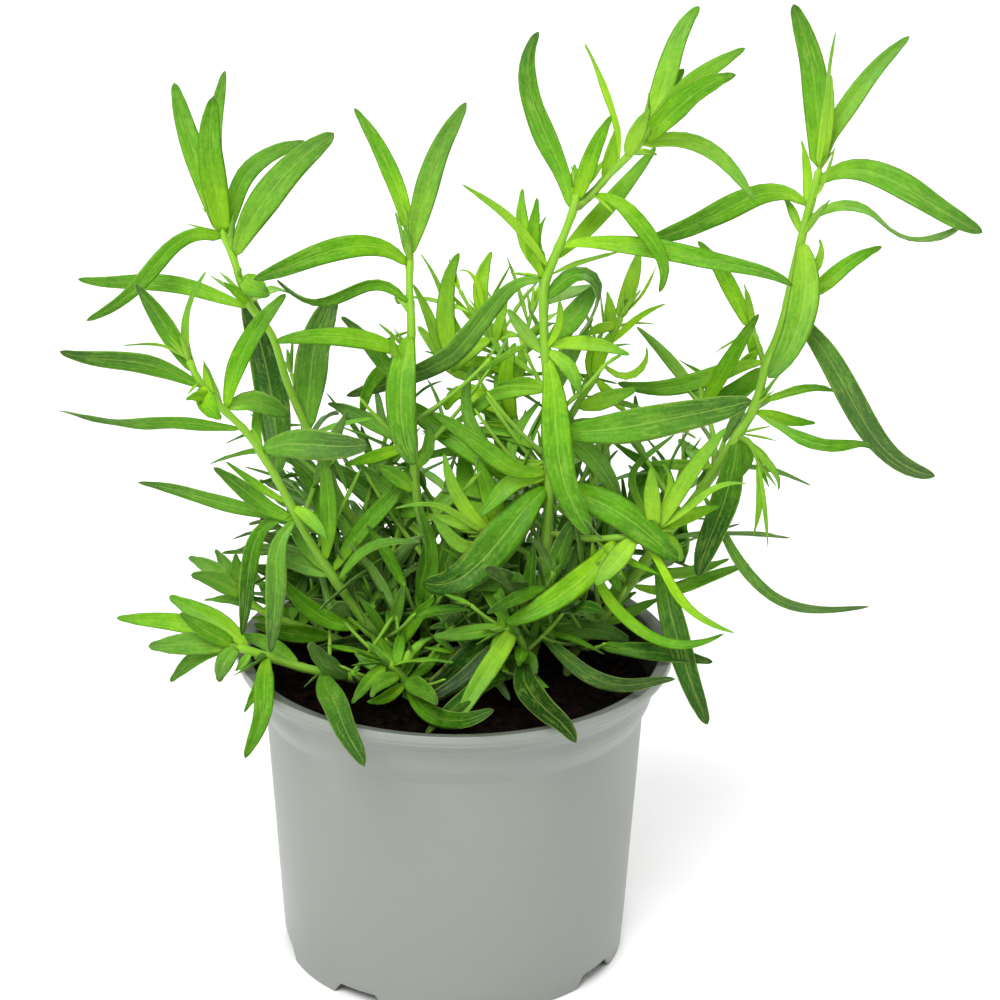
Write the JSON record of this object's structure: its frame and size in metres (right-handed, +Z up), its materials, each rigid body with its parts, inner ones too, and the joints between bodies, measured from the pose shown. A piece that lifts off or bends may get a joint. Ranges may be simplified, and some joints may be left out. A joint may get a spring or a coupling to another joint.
{
  "type": "potted tarragon plant",
  "caption": "Bushy tarragon herb with long narrow leaves on upright stems, growing in dark soil in a plain grey tapered plastic nursery pot.",
  "frame": {"origin": "on the pot's axis, on the surface that the pot stands on", "axes": "+Z up along the pot's axis, +X to the right and -Y towards the viewer"},
  "size_m": [0.2658, 0.1676, 0.2929],
  "materials": {
    "pot_plastic": "smooth satin light grey",
    "soil": "dark crumbly peat",
    "foliage": "fresh green leaves, satin"
  },
  "bodies": {
    "root": {"pot": "pot_plastic", "soil": "soil", "shoot_left_low": "foliage", "shoot_left_tall": "foliage", "shoot_middle_left": "foliage", "shoot_centre": "foliage", "shoot_right_tall": "foliage", "shoot_low_left": "foliage", "shoot_low_left_back": "foliage", "shoot_front": "foliage", "shoot_front_left": "foliage", "shoot_back_left": "foliage", "shoot_back_middle": "foliage", "shoot_back_right": "foliage"}
  },
  "joints": []
}
